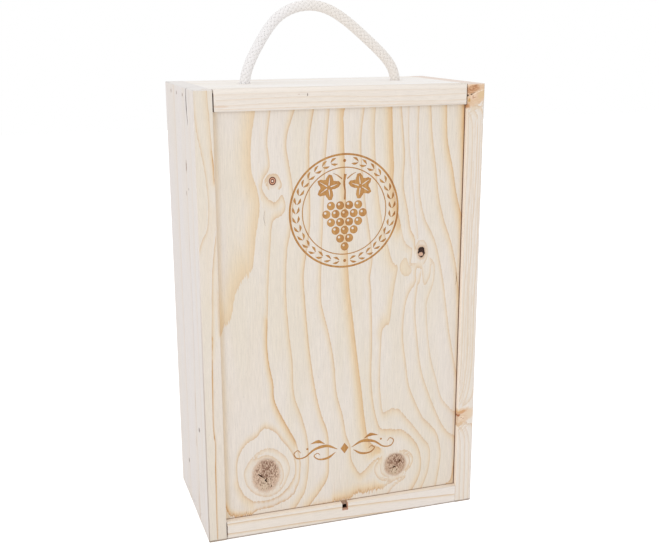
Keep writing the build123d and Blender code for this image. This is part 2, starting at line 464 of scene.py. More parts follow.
# Boards
finishes = {
    "side_panel_left": board_finish("left side board", (-0.35, 0.06), 9 * MM, along_z, 0.14,
                                    more=left_board_marks),
    "side_panel_right": board_finish("right side board", (0.4, 0.05), 4.5 * MM, along_z, 0.3, side_wood,
                                     right_wood, right_board_knots),
    "top_board": board_finish("top board", (0.6, -0.05), 8 * MM, along_x, 0.25, lit_top_wood),
    "bottom_board": board_finish("bottom board", (-0.03, 0.2), 7 * MM, along_x, 0.5, front_wood,
                                 lit_lip_wood, bottom_marks),
    "back_panel": board_finish("back panel", (0.03, 0.14), 7 * MM, along_z, 0.7, front_wood),
    "lid_head_strip": board_finish("head strip", (0.6, -0.13), 6 * MM, along_x, 0.3, strip_wood,
                                   strip_wood, strip_marks),
}
for node, material in finishes.items():
    set_material(nodes[node].data, material)

# Sliding lid: a finely divided board, so that the grain can be laid on its points.
# The lid's grain was read off its front in millimetres as (x, z). Each line is the sharp end of one year's
# growth: the dark late wood lies on its right hand when the points are followed. A line has the breadth of
# its late wood in millimetres, its darkness, its points and, where it is torn into fibres, how much.
growth_lines = [
    (8.0, 0.7, [(-66.3, 330), (-69.8, 308.5), (-70.2, 290), (-68.5, 279.8), (-65.3, 269), (-64.8, 257),
        (-67.5, 241), (-69.8, 222.3), (-71.9, 212.5), (-78.8, 206.3), (-85, 193.8), (-88.1, 178.8),
        (-93.8, 171.3), (-98, 162), (-104, 150)], 1.0),
    (1.9, 0.47, [(-55, 330), (-57.8, 308), (-56.6, 289.5), (-61, 281), (-62.6, 273.5), (-58.5, 266),
        (-53.5, 262.5), (-50.2, 264.5), (-47.5, 267.8), (-45, 260), (-47.5, 253.5), (-54.8, 248.5),
        (-56.9, 231), (-58.8, 206.3), (-60.4, 172.5)]),
    (2.7, 0.88, [(-60.4, 174), (-61, 155), (-60, 140), (-56.9, 122.5), (-56.6, 112), (-53.8, 102),
        (-46.3, 85.8), (-39.4, 72)]),
    (1.2, 0.55, [(-39.6, 73), (-36, 55.8), (-37.1, 38.3), (-40, 32)]),
    (0.4, 0.7, [(-39.5, 33), (-41, 28.7), (-42.9, 27.1), (-47.4, 23.8), (-53.4, 22), (-57.9, 20.2),
        (-62.4, 19.6), (-68.3, 19.2), (-72.7, 18.4), (-75.9, 16.2)]),
    (2.3, 0.55, [(-36.9, 330), (-42.5, 313.5), (-43.8, 303.5), (-42.5, 293.5), (-39.4, 273.5), (-39, 261),
        (-41.9, 238.5), (-44.4, 225), (-45.6, 193.8), (-43.8, 162.5), (-41.3, 137.5), (-40.4, 112),
        (-34.4, 92), (-30, 73.3), (-29, 50.8), (-31.9, 30.8), (-36.3, 22), (-44, 11)]),
    (2.5, 0.65, [(-22.5, 330), (-26, 308.5), (-26.5, 280), (-26.3, 244.8), (-31.3, 210), (-31.3, 193.8),
        (-28.1, 151.3), (-23.8, 117), (-18.8, 93.3), (-13.1, 74.5), (-12.3, 47), (-13.8, 37), (-18.8, 28.3),
        (-28.8, 15.8), (-33, 10)]),
    (2.5, 0.55, [(-10.6, 330), (-13.5, 298.5), (-15.5, 260), (-17.5, 218.8), (-18.1, 193.8), (-17.5, 181.3),
        (-11.9, 157.5), (-7.8, 133.8), (-5.6, 108.3), (-0.6, 88.3), (2.1, 72), (5.6, 62), (6.8, 50),
        (12.5, 38.3), (15.5, 36.8), (22.5, 43.3), (27.5, 47), (32.5, 48.3)]),
    (5.0, 0.95, [(1.3, 330), (0, 319), (2, 260), (4.2, 200), (7.5, 168.8), (10.3, 145), (13.1, 122.5),
        (15, 108.3), (17.5, 85.8), (20.6, 67), (24.4, 60.8), (31.3, 56.4)]),
    (2.0, 0.55, [(16.3, 330), (13.8, 302), (17, 262), (23.1, 218.8), (21.5, 200), (22.5, 187.5),
        (23.5, 150), (23.1, 117), (25.6, 93.3), (30, 76), (35, 72.2), (41.3, 71.3), (50, 69.5),
        (57.5, 63.3), (63.8, 54.5), (66.9, 44.5), (67.5, 34.5), (65, 24.5), (58, 12)]),
    (3.6, 0.55, [(25, 330), (24.4, 308.5), (27, 270), (32, 238), (35.5, 226), (39.5, 212), (44.2, 206.3),
        (43.1, 198.8), (40, 178.8), (38.3, 163.5), (36, 160.5), (32.5, 157.8), (31.3, 150)], 0.3),
    (1.9, 0.42, [(31.4, 151), (30.6, 125), (30.6, 109.5), (32.5, 90.8), (34.6, 87), (40, 88.9),
        (46.3, 88.3), (50, 84.5), (58.8, 73.3), (70, 58.3), (73.8, 53.3), (75.4, 45.8), (75, 37),
        (73.1, 27), (67, 12)]),
    (5.0, 1.1, [(38.1, 330), (38.8, 308.5), (40, 286), (39.8, 272.3), (42.5, 256), (46.2, 240)]),
    (1.9, 0.35, [(46, 241), (49, 228), (52.5, 222.6), (56, 220), (55.8, 213), (55.2, 208.5), (59.5, 208)]),
    (2.0, 0.55, [(45.6, 330), (48.8, 293.5), (48.1, 271), (51.9, 251), (54.5, 236), (57.8, 229),
        (59, 220)]),
    (1.5, 0.25, [(51.9, 330), (51.9, 316), (52.5, 300), (56, 270), (59, 245), (60.5, 235), (61.8, 222)]),
    (1.8, 0.45, [(64.5, 204), (60.5, 204.5), (59.6, 199), (60, 195.5), (58.8, 191), (54.4, 185),
        (51.3, 175), (49.8, 160), (50, 145), (53.1, 122.5), (55, 109.5), (58.8, 98.3), (67.5, 79.5),
        (73.8, 72), (80, 64.5), (83.1, 55.8), (85, 44.5), (84.4, 34.5), (82.5, 22), (80.5, 10)]),
    (1.8, 0.42, [(64, 199), (63, 193), (61.3, 188.8), (59.8, 170), (61.9, 147.5), (65.6, 121.3),
        (72.5, 99.5), (81.3, 78.3), (86.3, 68.3), (91.3, 62), (98, 57)]),
    (1.3, 0.35, [(72.5, 206), (72, 199), (70.5, 194), (67.6, 190.2), (66, 194), (65, 202), (62.5, 204)]),
    (1.5, 0.32, [(72, 211), (75.4, 206), (75.6, 197), (74.5, 190), (71, 180), (69.4, 171.3), (71.3, 147.5),
        (74.4, 127.5), (78.8, 112), (83.8, 94.5), (88.8, 87), (93.8, 81.4), (101, 77)]),
    (1.8, 0.42, [(60, 330), (59.8, 306), (61.3, 274.8), (61.9, 262.3), (66.3, 243.5), (74.4, 227.3),
        (79.4, 210), (83.8, 188.8), (86.9, 167.5), (90, 147.5), (95.6, 120), (99, 108)]),
    (2.6, 0.55, [(69.4, 330), (71.3, 306), (75, 281), (77.5, 261), (82.5, 241), (88.8, 223.5),
        (93.8, 203.8), (97, 183), (101, 165)]),
    (3.8, 0.8, [(82.5, 330), (83.8, 303.5), (88.8, 281), (92.5, 261), (97.3, 243.5), (101, 230)]),
    (4.6, 0.85, [(96.9, 330), (97.6, 310), (100, 290), (104, 265)]),
    (1.4, 0.5, [(-63.8, 87.5), (-67.6, 85), (-70.3, 81.1), (-78, 76.8), (-82.7, 71.6), (-85.9, 64.6),
        (-86.9, 55.6), (-86, 43), (-82.6, 34.3), (-78.2, 29.1), (-74.5, 26.4)]),
    (0.45, 0.6, [(-74.5, 26.4), (-68.2, 25.5), (-62.3, 25.5), (-56.3, 26.9), (-51, 29.6), (-45.6, 34.8)]),
    (1.4, 0.5, [(-45.6, 34.8), (-40.9, 43), (-40, 49.5), (-41.2, 59.6), (-45.3, 67.8), (-50.4, 75),
        (-56.4, 83.4), (-63.8, 87.5)]),
    (1.6, 0.34, [(-79.9, 42), (-81.5, 50.4), (-80, 55.6), (-74.8, 63.5), (-68, 68.4), (-61.8, 69.7),
        (-56.7, 68.1), (-51.6, 64.4), (-47, 58.8), (-44.7, 49.1), (-48.7, 37.8)]),
    (0.5, 0.42, [(-48.7, 37.8), (-52.5, 33), (-57.7, 29.9), (-63.7, 29.2), (-69.5, 31), (-75.3, 35.1),
        (-79.9, 42)]),
    (0.7, 0.42, [(-73.8, 62.3), (-67.1, 63.4), (-61.9, 63.6), (-56.8, 60.8), (-52.2, 55.7), (-50, 48.8),
        (-50.1, 42.2), (-52.5, 37.1)]),
    (1.3, 0.95, [(-76.6, 15.7), (-81.6, 15.4), (-86.5, 15.9), (-90.2, 17.1), (-93.2, 18.8), (-95.5, 22.2),
        (-97.2, 26.5), (-104, 36)], 0.6),
    (0.8, 0.4, [(42, 26.3), (32.5, 28.3), (27.8, 34.5), (27, 40.8), (32.5, 48.8)]),
    (0.7, 0.32, [(38.8, 29.5), (33, 34), (31.3, 42)]),
    (1.2, 0.42, [(48.8, 51.9), (53.6, 51.2), (57.7, 48.6), (60.2, 44.2), (60.3, 40.9), (58.7, 37.1),
        (55.6, 33.5), (52.4, 31.1)]),
    (0.6, 0.5, [(52.1, 49), (55.7, 46.9), (57.4, 43), (57.1, 39), (55.1, 35.2), (52.3, 33.2)]),
    (1.6, 0.6, [(91, 15.8), (92.1, 16.3), (94.1, 17.6), (95.3, 19.9), (96.4, 26.4), (97, 32.9),
        (98.5, 45)]),
    (0.8, 0.45, [(53.5, 27.6), (46.3, 26.8), (40.6, 24.6), (35.4, 21.8), (31.9, 20.3)]),
    (0.8, 0.4, [(52.6, 26.3), (46.8, 23.1), (42, 19.4), (39, 15.2), (37.5, 12)]),
    (2.6, 0.85, [(34, 20.6), (24.8, 20.2), (18.7, 20), (12.7, 19.7), (8.4, 18.6), (5.8, 16.8), (1.5, 16.1),
        (-4, 16.1), (-8.8, 15.2)], 0.6),
    (1.4, 0.4, [(-9, 15.3), (-16, 14.9), (-26, 14.4)]),
    (3.0, 0.56, [(-86.6, 46), (-86, 43), (-82.6, 34.3), (-78.2, 29.1), (-75, 26.8)], 0.3),
    (5.0, 0.45, [(51.5, 212.5), (53.6, 207), (56, 203.5), (54.5, 199.8), (50, 199.2), (47, 203),
        (46.6, 208), (49, 211.8), (51.5, 212.5)]),
    (0.8, 0.35, [(59.4, 221.5), (61, 225), (64.4, 226.2), (68, 223), (69.4, 217), (68.6, 211),
        (66.4, 207.5)]),
    (0.8, 0.4, [(-57.6, 273), (-58.6, 278), (-57, 282), (-54, 283.2)]),
    (1.1, 0.5, [(-58.5, 274), (-60, 279), (-57.5, 282.6), (-54.5, 283.6), (-51, 282.8), (-48.6, 279),
        (-47.6, 274.5), (-49.5, 272.5)]),
]
lid_low, lid_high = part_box("lid_panel")
lid_lead = 0.6 * MM
lid_cell = (0.8 * MM, 1.6 * MM)
engraving_depth = 0.3 * MM
crack_depth = 1.0 * MM
medallion_place = (1.0, 253.0)
flourish_place = (1.0, 61.0)

# Fine cracks in the lid's knots and edges, as (x, z) points and half widths, and shadows along its edges
lid_cracks = [
    ([(-70.2, 49.2), (-68.8, 48), (-67.2, 46.6), (-65.6, 45.2)], [0.35, 0.7, 0.5, 0.16]),
    ([(-62.8, 44.8), (-64.4, 43.2), (-63, 41.4)], [0.3, 0.75, 0.3]),
    ([(-59.8, 38.8), (-59.6, 36.8)], [0.16, 0.45]),
    ([(42.4, 37), (44, 38.4), (45.6, 38)], [0.2, 0.75, 0.2]),
    ([(47.4, 41.2), (48.7, 42.7), (49, 44.4)], [0.2, 0.65, 0.16]),
    ([(94.2, 198.5), (94.8, 193), (94.3, 187.5)], [0.08, 0.25, 0.08]),
    ([(-60.4, 257.5), (-61.3, 252), (-60.4, 245.6)], [0.05, 0.14, 0.05]),
]
lid_shadows = [
    ((-97.0, 338.0), (0.7, 7.6), (70, 50, 42), 0.9),
    ((97.1, 338.0), (0.6, 7.6), (70, 50, 42), 0.9),
    ((0.0, 14.6), (150.0, 1.2), (178, 132, 94), 0.3),
]


def smooth_line(points, step=1.0):
    """Points about a step apart on a smooth line through the given ones."""
    p = np.array(points, float)
    closed = np.allclose(p[0], p[-1])
    before, after = (p[-2], p[1]) if closed else (2 * p[0] - p[1], 2 * p[-1] - p[-2])
    p = np.vstack([before, p, after])
    pieces = []
    for a, b, c, d in zip(p, p[1:], p[2:], p[3:]):
        t = np.linspace(0, 1, max(2, round(np.linalg.norm(c - b) / step)), endpoint=False)[:, None]
        bend = (2 * a - 5 * b + 4 * c - d) * t**2 + (3 * b - a - 3 * c + d) * t**3
        pieces.append(0.5 * (2 * b + (c - a) * t + bend))
    return np.vstack([*pieces, p[-2:-1]]), closed


def unit(vectors):
    return vectors / np.linalg.norm(vectors, axis=1)[:, None]


def grain_at(places, lines, lying):
    """How each place (x, z) in millimetres lies to the growth lines: two vectors for the wood's finish."""
    batch, halo_fall = 4000, 2.2
    turn = np.array([[0.0, 1.0], [-1.0, 0.0]]) if lying else np.eye(2)
    pull = np.array([1.0, fibre_pull])
    wanted = places @ turn * pull
    nearest = np.full(len(places), np.inf)
    edge = np.zeros((len(places), 3))
    tone = np.zeros((len(places), 3))
    end = np.zeros(len(places))
    for breadth, darkness, points, *fray in lines:
        line, closed = smooth_line(points)
        line = line @ turn
        run = np.gradient(line, axis=0)
        lean = np.abs(run[:, 0]) / np.linalg.norm(run, axis=1)
        line, run = line * pull, unit(run * pull)
        for first in range(0, len(places), batch):
            part = slice(first, first + batch)
            away = wanted[part, None, :] - line[None, :, :]
            squared = (away**2).sum(2)
            at = squared.argmin(1)
            rows = np.arange(len(at))
            away, along = away[rows, at], run[at]
            distance = np.sqrt(squared[rows, at])
            on_right = along[:, 1] * away[:, 0] - along[:, 0] * away[:, 1] > 0
            past = np.abs((away * along).sum(1)) * ((at == 0) | (at == len(line) - 1)) * (not closed)
            present = np.exp(-past / end_fade)
            halo = darkness * present * np.exp(-((distance / breadth) ** halo_fall))
            tone[part, 1] = np.maximum(tone[part, 1], halo * on_right)
            torn = lean[at] * sum(fray, plain_fray)
            closer = distance < nearest[part]
            nearest[part] = np.where(closer, distance, nearest[part])
            angle = np.pi * np.clip(distance / edge_reach, 0, 1) * np.where(on_right, 1, -1)
            here = np.stack([np.cos(angle), np.sin(angle), present], 1)
            edge[part] = np.where(closer[:, None], here, edge[part])
            tone[part, 0] = np.where(closer, halo, tone[part, 0])
            tone[part, 2] = np.where(closer, torn, tone[part, 2])
            end[part] = np.where(closer, darkness * present * min(1, end_breadth / breadth), end[part])
    return edge, tone, end


# The ornament's outlines, in millimetres round its own middle. A shape is a list: an outline and its holes.
def circle(x, z, radius, corners=32):
    turns = [2 * math.pi * i / corners for i in range(corners)]
    return [(x + radius * math.cos(t), z + radius * math.sin(t)) for t in turns]


def stroke(points, half_widths):
    """Outline of a pen stroke along a smooth line, with its half width at each of the given points."""
    line, _ = smooth_line(points, 0.8)
    run = unit(np.gradient(line, axis=0))
    share = np.linspace(0, 1, len(line))
    half = np.interp(share, np.linspace(0, 1, len(half_widths)), half_widths)[:, None]
    side = np.stack([-run[:, 1], run[:, 0]], 1) * half
    return [tuple(p) for p in np.vstack([line + side, (line - side)[::-1]])]


def placed(outline, x=0.0, z=0.0, turn=0.0, flip=1):
    c, s = math.cos(turn), math.sin(turn)
    return [(x + flip * (c * a - s * b), z + s * a + c * b) for a, b in outline]


def vine_leaf(size):
    """A five-lobed leaf with its tip up and its stalk down, and the veins that stand in it."""
    lobe_turn = math.radians(65)
    corners = 144
    outline = []
    for i in range(corners):
        angle = math.pi * (2 * (i + 0.5) / corners - 1)
        lobes = 0.66 + 0.34 * math.cos(math.pi * angle / lobe_turn) ** 2
        stalk = 1 - 0.6 * math.exp(-(((math.pi - abs(angle)) / 0.3) ** 2))
        teeth = 1 + 0.05 * abs((i % 6) / 3 - 1)
        radius = size * lobes * stalk * teeth
        outline.append((radius * math.sin(angle), radius * math.cos(angle)))
    veins = []
    for lobe in (-2, -1, 0, 1, 2):
        angle = lobe_turn * lobe
        start, end = 0.16 * size, size * (0.84 - 0.06 * abs(lobe))
        ends = [(r * math.sin(angle), r * math.cos(angle)) for r in (start, (start + end) / 2, end)]
        veins.append(stroke(ends, [0.42, 0.34, 0.12]))
    return [outline, *veins]


def medallion():
    """A double ring with pins at its top and foot, two vine leaves, their tendrils and the bunch's stalk."""
    outer = [circle(0, 0, 43.5, 160), circle(0, 0, 42.0, 160)]
    inner = [circle(0, 0, 33.4, 128), circle(0, 0, 32.6, 128)]
    shapes, leaf = [outer, inner], vine_leaf(9.5)
    for flip in (-1, 1):
        shapes.append([placed(placed(line, 12.5, 18.5, math.radians(-58)), flip=flip) for line in leaf])
        shapes.append([stroke([(flip * 2, 24.5), (flip * 6, 27.5), (flip * 9, 28.9)], [0.5, 0.4, 0.15])])
    shapes.append([stroke([(0, 8.8), (0.4, 15), (-0.4, 21), (0.6, 28)], [0.7, 0.6, 0.7, 1.1])])
    shapes += [[circle(0, 38, 1.2, 20)], [circle(0, -38, 1.2, 20)]]
    return shapes


def grape_places():
    """Rows of a bunch of grapes, as (x, z, turn)."""
    pitch, row_drop, first_row = 7.2, 6.3, 4.5
    places = []
    for row, n in enumerate([4, 5, 4, 3, 2, 1]):
        places += [((i - (n - 1) / 2) * pitch, first_row - row * row_drop, 0.0) for i in range(n)]
    return places


def wreath_places(radius=38.0, pairs=16, first=-84.0, last=73.0):
    """Where the leaf pairs of a laurel wreath sit, from the bottom up both sides to the top."""
    places = []
    for i in range(pairs):
        angle = math.radians(first + (last - first) * i / (pairs - 1))
        x, z = radius * math.cos(angle), radius * math.sin(angle)
        places += [(x, z, angle + math.pi / 2), (-x, z, math.pi / 2 - angle)]
    return places


def flourish():
    """A scroll: a lozenge in the middle, and two curls, a leaf and a pin on either side."""
    shapes = [[[(0, -4.6), (3.4, 0), (0, 4.6), (-3.4, 0)]]]
    sweep = stroke([(6, 0), (15, 4), (25, 2.4), (33, -3), (39.5, -3.2), (42, 1), (38.8, 3.4), (36.6, 1)],
                   [0.25, 1.0, 1.3, 0.9, 0.6, 0.55, 0.45, 0.3])
    under = stroke([(7.5, -2.4), (14, -6.4), (21.5, -6.6), (25.5, -3.2), (22.6, -1.2), (20.6, -3)],
                   [0.2, 0.9, 0.9, 0.55, 0.45, 0.25])
    leaf = stroke([(16.5, 6), (22, 8.6), (28.5, 7.4)], [0.15, 1.5, 0.1])
    for flip in (-1, 1):
        shapes += [[placed(outline, flip=flip)] for outline in (sweep, under, leaf, circle(31, 3.6, 0.9, 16))]
    return shapes


# Meshes made of curves, of other meshes and of geometry nodes
def evaluated(name, data):
    """The plain mesh that a curve, or an object's data with its modifiers, turns into."""
    holder = data if isinstance(data, bpy.types.Object) else in_scene(name, data)
    bpy.context.view_layer.update()
    mesh = bpy.data.meshes.new_from_object(holder.evaluated_get(bpy.context.evaluated_depsgraph_get()))
    if holder is not data:
        bpy.data.objects.remove(holder)
    return mesh


def weld(mesh):
    work = bmesh.new()
    work.from_mesh(mesh)
    bmesh.ops.remove_doubles(work, verts=work.verts, dist=same_point)
    bmesh.ops.recalc_face_normals(work, faces=work.faces)
    work.to_mesh(mesh)
    work.free()


def joined(meshes):
    work = bmesh.new()
    for mesh in meshes:
        work.from_mesh(mesh)
    whole = bpy.data.meshes.new("joined")
    work.to_mesh(whole)
    work.free()
    return whole


def stamp(shape, depth, above=1 * MM):
    """A flat solid on the XY plane, from above it to a depth under it: an outline with its holes."""
    curve = bpy.data.curves.new("stamp", "CURVE")
    curve.dimensions = "2D"
    curve.fill_mode = "BOTH"
    curve.extrude = (above + depth) / 2
    for outline in shape:
        spline = curve.splines.new("POLY")
        spline.points.add(len(outline) - 1)
        for point, (x, z) in zip(spline.points, outline):
            point.co = (x * MM, z * MM, 0.0, 1.0)
        spline.use_cyclic_u = True
    mesh = evaluated("stamp", curve)
    mesh.transform(Matrix.Translation((0, 0, (above - depth) / 2)))
    weld(mesh)
    return mesh


def new_group(name, gives, inputs):
    """An empty node group: its sheet, what its inputs give, and the key under which each input is set."""
    tree = bpy.data.node_groups.new(name, "GeometryNodeTree")
    keys = {}
    for label, kind, value in inputs:
        socket = tree.interface.new_socket(label, in_out="INPUT", socket_type="NodeSocket" + kind)
        if value is not None:
            socket.default_value = value
        keys[label] = socket.identifier
    tree.interface.new_socket(gives, in_out="OUTPUT", socket_type="NodeSocketGeometry")
    return Sheet(tree), tree.nodes.new("NodeGroupInput").outputs, keys


def close_group(g, geometry, material):
    """End a node group: real geometry, in its material."""
    real = g.add("GeometryNodeRealizeInstances", {"Geometry": geometry})
    finished = g.add("GeometryNodeSetMaterial", {"Geometry": real, "Material": material})
    g.tree.links.new(finished, g.tree.nodes.new("NodeGroupOutput").inputs[0])


def copies_group():
    """Geometry nodes: a piece set out on places, each with its own turn."""
    inputs = [("Places", "Geometry", None), ("Piece", "Object", None), ("Finish", "Material", None)]
    g, given, keys = new_group("copies", "Copies", inputs)
    shape = g.add("GeometryNodeObjectInfo", {"Object": given["Piece"]}, "Geometry")
    turn = g.add("GeometryNodeInputNamedAttribute", {"Name": "turn"}, data_type="FLOAT")
    rotation = g.add("FunctionNodeEulerToRotation", [g.join(0.0, 0.0, turn)])
    inputs = {"Points": given["Places"], "Instance": shape, "Rotation": rotation}
    close_group(g, g.add("GeometryNodeInstanceOnPoints", inputs), given["Finish"])
    return g.tree, keys


def grown(name, mesh, tree, keys, **inputs):
    """The mesh that a geometry node tree makes of another, as a plain object."""
    piece = in_scene(name, mesh)
    modifier = piece.modifiers.new("made", "NODES")
    modifier.node_group = tree
    for label, value in inputs.items():
        modifier[keys[label.replace("_", " ")]] = value
    made = evaluated(name, piece)
    piece.modifiers.remove(modifier)
    piece.data = made
    made.name = name
    return piece


def set_out(mesh, places):
    """Copies of a flat mesh at places (x, z, turn) of the XY plane."""
    points = new_mesh("places", [(x * MM, z * MM, 0.0) for x, z, _ in places])
    turns = points.attributes.new("turn", "FLOAT", "POINT")
    turns.data.foreach_set("value", [turn for _, _, turn in places])
    piece = in_scene("piece", mesh)
    set_pieces = grown("copies", points, *copies_group(), Piece=piece)
    made = set_pieces.data
    bpy.data.objects.remove(set_pieces)
    bpy.data.objects.remove(piece)
    return made


def carved(piece, solid):
    """Cut a solid out of a piece."""
    tool = in_scene("tool", solid)
    cut = piece.modifiers.new("cut", "BOOLEAN")
    cut.operation, cut.solver, cut.object = "DIFFERENCE", "EXACT", tool
    made = evaluated(piece.name, piece)
    piece.modifiers.remove(cut)
    bpy.data.objects.remove(tool)
    piece.data = made


def carve_lid(meshes, x, z):
    """Cut flat solids into the lid's front, centred at (x, z) in millimetres."""
    whole = joined(meshes)
    turned = Matrix.Rotation(math.radians(90), 4, "X")
    whole.transform(Matrix.Translation((x * MM, lid_low.y, z * MM)) @ turned)
    weld(whole)
    carved(lid, whole)


def divided_board(name, low, high, cell_x, cell_z, lead):
    """A board whose front is divided into cells, with its lower edges cut back by lead."""
    columns = np.linspace(low.x, high.x, round((high.x - low.x) / cell_x) + 1)
    rows = np.linspace(low.z + lead, high.z, round((high.z - low.z - lead) / cell_z) + 1)
    rows = np.insert(rows, 0, low.z)
    wide, tall = len(columns), len(rows)
    points = [(x, low.y + (lead if z == low.z else 0.0), z) for z in rows for x in columns]
    cells = [i * wide + j for i in range(tall - 1) for j in range(wide - 1)]
    faces = [(a, a + 1, a + wide + 1, a + wide) for a in cells]
    rim = [*range(wide)] + [i * wide + wide - 1 for i in range(1, tall)]
    rim += [(tall - 1) * wide + j for j in range(wide - 2, -1, -1)]
    rim += [i * wide for i in range(tall - 2, 0, -1)]
    behind = {a: len(points) + i for i, a in enumerate(rim)}
    points += [(points[a][0], high.y - (lead if a < wide else 0.0), points[a][2]) for a in rim]
    faces += [(b, a, behind[a], behind[b]) for a, b in zip(rim, rim[1:] + rim[:1])]
    lower = [behind[j] for j in range(wide)]
    faces.append((behind[wide], *lower, behind[2 * wide - 1])[::-1])
    faces.append([behind[a] for a in rim[wide:]][::-1])
    mesh = new_mesh(name, points, faces)
    weld(mesh)
    return in_scene(name, mesh)


def lay_grain(mesh, lines, lying=False, behind=1.0):
    """Lay growth lines on a board's points that are less than behind metres from its front."""
    places = np.zeros(len(mesh.vertices) * 3, np.float32)
    mesh.vertices.foreach_get("co", places)
    places = places.reshape(-1, 3)
    flat = np.round(places[:, [0, 2]] / MM, 3)
    unique, back = np.unique(flat, axis=0, return_inverse=True)
    for name, values in zip(("ring_edge", "ring_tone", "ring_end"), grain_at(unique, lines, lying)):
        kind, field = ("FLOAT", "value") if values.ndim == 1 else ("FLOAT_VECTOR", "vector")
        attribute = mesh.attributes.new(name, kind, "POINT")
        attribute.data.foreach_set(field, values[back.ravel()].astype(np.float32).ravel())
    laid = mesh.attributes.new("laid", "FLOAT", "POINT")
    laid.data.foreach_set("value", (places[:, 1] < places[:, 1].min() + behind).astype(np.float32))


def lid_knots(s, place, x, z, colour):
    """The lid's four knots: two broad grey-brown ones low down and two small dark-ringed ones above."""
    brown, pale_foot = (150, 108, 84), (210, 192, 166)
    dark_fibre, pale_fibre = (112, 74, 54), (224, 202, 180)
    halo, honey, ring = (220, 200, 176), (206, 172, 138), (44, 24, 18)
    fleck, heart_tone = (126, 84, 62), (208, 170, 146)
    hatch = s.noise(s.along(place, 0.4), 0.6 * MM, 3.0, 0.65)
    blotch = s.noise(place, 3.0 * MM, 3.0, 0.6)
    for centre, half, tone, depth in [
        ((-63.8, 47.4), (11.8, 15.2), (204, 176, 154), 0.28),
        ((44.6, 40.4), (10.0, 10.6), (192, 162, 138), 0.42),
    ]:
        reach = reach_from(s, x, z, centre, half)
        frayed = s.times_plus(s.less(hatch, 0.5), 0.55, reach)
        heart = reach_from(s, x, z, (centre[0] + 0.12 * half[0], centre[1] + 0.26 * half[1]), half)
        foot = reach_from(s, x, z, (centre[0] - 0.1 * half[0], centre[1] - 0.5 * half[1]), half)
        body = s.tint(paint(*tone), s.step(heart, 0.75, 0.1, 0.0, depth), brown)
        body = s.tint(body, s.step(foot, 0.55, 0.1, 0.0, 0.6), pale_foot)
        denser = s.times_plus(s.less(blotch, 0.5), 0.3, s.step(heart, 1.1, 0.2, 0.0, 0.12))
        body = s.tint(body, s.step(s.calc("ADD", hatch, denser), 0.54, 0.68, 0.0, 0.85), dark_fibre)
        body = s.tint(body, s.step(hatch, 0.48, 0.36, 0.0, 0.7), pale_fibre)
        colour = s.tint(colour, s.step(frayed, 1.3, 0.95, 0.0, 0.35), halo)
        colour = s.mix(s.step(frayed, 1.06, 0.84), colour, body)
    left = reach_from(s, x, z, (-54.4, 278.6), (2.7, 3.1))
    for outer, inner, strength, tone in [
        (2.1, 1.0, 0.5, (216, 186, 154)),
        (1.06, 0.94, 1.0, (96, 48, 32)),
        (0.8, 0.7, 1.0, (216, 162, 132)),
        (0.56, 0.46, 1.0, (100, 48, 32)),
        (0.3, 0.2, 1.0, (244, 220, 204)),
    ]:
        colour = s.tint(colour, s.step(left, outer, inner, 0.0, strength), tone)
    right = s.times_plus(s.less(blotch, 0.5), 0.7, reach_from(s, x, z, (64.1, 216.9), (2.9, 4.2)))
    heart = s.times_plus(s.less(hatch, 0.5), 1.1, reach_from(s, x, z, (63.7, 215.2), (1.9, 1.5)))
    speckle = s.times(hatch, s.step(right, 1.0, 0.5))
    colour = s.tint(colour, s.step(right, 1.8, 1.05, 0.0, 0.75), honey)
    colour = s.tint(colour, s.step(right, 1.08, 0.92), ring)
    colour = s.tint(colour, s.step(speckle, 0.5, 0.62, 0.0, 0.7), fleck)
    return s.tint(colour, s.step(heart, 1.15, 0.8), heart_tone)


def lid_finish():
    seam_shade_tone, foot_shade_tone, crack_shade_tone = (112, 54, 4), (130, 84, 40), (58, 36, 28)
    material, s, shader = new_material("lid softwood")
    place = s.place()
    x, y, z = s.split(place)
    late, core = laid_grain(s, place)
    colour, fine = wood_colour(s, place, late, core, front_wood)
    colour = lid_knots(s, place, x, z, colour)
    # Painted shade along its edges: shadows at the head strip's ends and at its foot, a dark seam at its
    # right edge, a dark line just above the ledge, and a warmer tint in the shade beside both side boards
    front = s.step(y, lid_low.y + 0.2 * MM, lid_low.y)
    colour = marks(s, place, front, x, z, colour, lid_shadows)
    seam_shade = s.times(s.edge(x, 97.0, 97.35), s.edge(x, 98.0, 97.7))
    colour = s.tint(colour, s.times(front, seam_shade, 0.85), seam_shade_tone)
    colour = s.tint(colour, s.times(front, s.edge(z, 15.75, 15.4, 0.0, 0.6)), foot_shade_tone)
    # A warmer tint on the painted shade beside both side boards
    warm_shade_tint = (1.05, 0.97, 0.84, 1.0)
    shaded_sides = s.calc("MAXIMUM", s.edge(x, -92, -96), s.edge(x, 94.3, 96.6))
    colour = s.mix(s.times(front, shaded_sides), colour, warm_shade_tint, "MULTIPLY")
    # The burned ornament and the cracks, which lie below the front but not at the board's own edges
    depth = s.less(y, lid_low.y)
    within = s.times(s.edge(s.calc("ABSOLUTE", x), 102.9, 102.8), s.edge(z, 12.3, 12.5), s.edge(z, 331, 330))
    within = s.times(within, s.step(depth, crack_depth + 0.3 * MM, crack_depth + 0.1 * MM))
    sunk = s.times(within, s.step(depth, 0.1 * engraving_depth, 0.3 * engraving_depth))
    # Painted shade inside the cracks, which are cut deeper than the ornament
    shaded_cracks = s.times(within, s.step(depth, 1.2 * engraving_depth, 1.5 * engraving_depth))
    scorch = s.times_plus(late, 0.3, s.noise(s.along(place, 0.05), 2.2 * MM, 3.0, 0.6))
    pale, brown, dark = paint(202, 156, 97), paint(188, 137, 80), paint(168, 112, 62)
    burned = s.ramp(scorch, [(0.3, pale), (0.55, brown), (0.9, dark)])
    colour = s.tint(s.mix(sunk, colour, burned), shaded_cracks, crack_shade_tone)
    finish_wood(s, shader, colour, fine)
    return material


